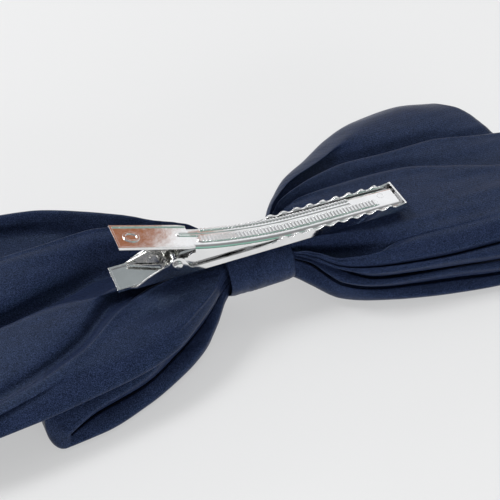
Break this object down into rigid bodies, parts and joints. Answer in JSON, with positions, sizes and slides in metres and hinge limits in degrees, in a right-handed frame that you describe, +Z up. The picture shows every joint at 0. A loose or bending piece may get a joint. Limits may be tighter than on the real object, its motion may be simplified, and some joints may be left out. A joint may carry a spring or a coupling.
{
  "type": "hair bow clip",
  "caption": "Satin bow of a long and a shorter gathered strip under a centre wrap, with a sprung toothed steel alligator clip on its back.",
  "frame": {"origin": "on the resting plane under the middle of the bow", "axes": "+X along the bow towards the clip's tip, +Y across the bow, +Z up out of the back of the bow, through the clip"},
  "size_m": [0.201, 0.0769, 0.035],
  "materials": {
    "satin": "navy satin with a soft sheen and a fine cross texture",
    "thread": "matt navy sewing thread",
    "glue": "clear yellowish hot-melt glue",
    "plated_steel": "bright nickel plate with fine wear",
    "spring_steel": "drawn spring wire"
  },
  "bodies": {
    "bow_body": {"rear_strip": "satin", "front_strip": "satin", "gathering_thread": "thread", "center_wrap": "satin", "glue_bed": "glue", "lower_jaw": "plated_steel", "pivot_pin": "plated_steel", "torsion_spring": "spring_steel"},
    "jaw_body": {"upper_jaw": "plated_steel"}
  },
  "joints": [
    {"name": "jaw_hinge", "type": "hinge", "parent": "bow_body", "child": "jaw_body", "pos_m": [-0.022, -0.0105, 0.0243], "axis": [0, -1, 0], "range_deg": [0, 32], "stiffness_Nm_per_rad": 0.04, "springref_deg": -60.16, "deforming": ["torsion_spring"]}
  ]
}
